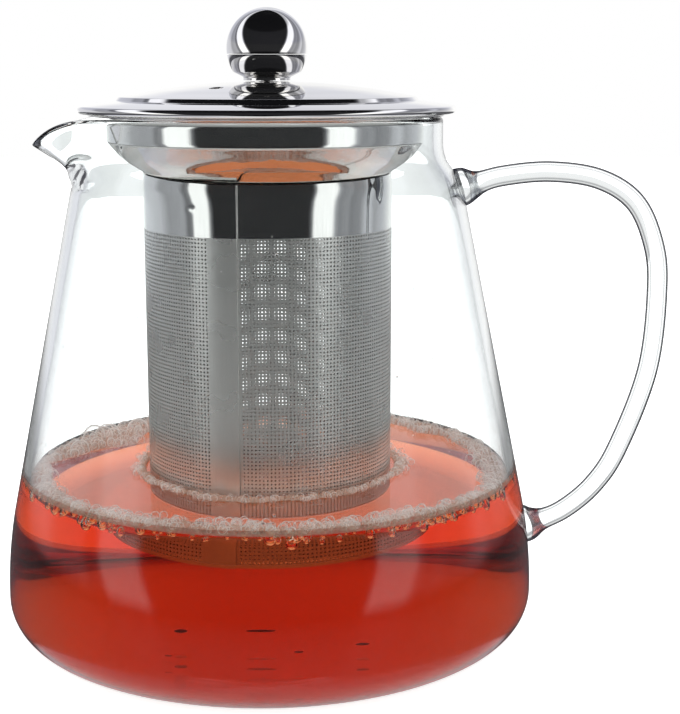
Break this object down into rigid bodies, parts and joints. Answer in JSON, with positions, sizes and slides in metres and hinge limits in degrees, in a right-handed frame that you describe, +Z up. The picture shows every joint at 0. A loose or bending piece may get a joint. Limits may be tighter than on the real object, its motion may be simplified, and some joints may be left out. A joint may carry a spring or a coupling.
{
  "type": "glass teapot with lift-out infuser",
  "caption": "Clear glass teapot with a drawn beak and rod handle, a perforated steel infuser hanging in its mouth and a domed steel lid with a ball knob.",
  "frame": {"origin": "middle of the flat underside of the pot, on the pot's axis", "axes": "+Z up along the pot's axis, +X towards the handle, -X towards the beak"},
  "size_m": [0.1712, 0.1368, 0.1591],
  "materials": {
    "glass": "clear fire-polished borosilicate glass",
    "polished_steel": "pressed stainless steel sheet, polished bright",
    "mirror_steel": "mirror-polished stainless steel",
    "perforated_steel": "stainless steel sheet with a close square grid of etched holes",
    "satin_steel": "stainless steel as turned or pressed, satin"
  },
  "bodies": {
    "pot": {"glass_body": "glass", "glass_handle": "glass"},
    "infuser": {"infuser_rim": "polished_steel", "basket_wall": "perforated_steel", "basket_base": "perforated_steel"},
    "lid": {"lid_cover": "polished_steel", "lid_ring": "satin_steel", "knob_cap": "mirror_steel", "knob_bowl": "mirror_steel", "knob_boss": "satin_steel", "lid_screw": "satin_steel", "lid_washer": "satin_steel"}
  },
  "joints": [
    {"name": "infuser_lift", "type": "slide", "parent": "pot", "child": "infuser", "axis": [0, 0, 1], "range_m": [0, 0.115]},
    {"name": "lid_lift", "type": "slide", "parent": "infuser", "child": "lid", "axis": [0, 0, 1], "range_m": [0, 0.05]}
  ]
}
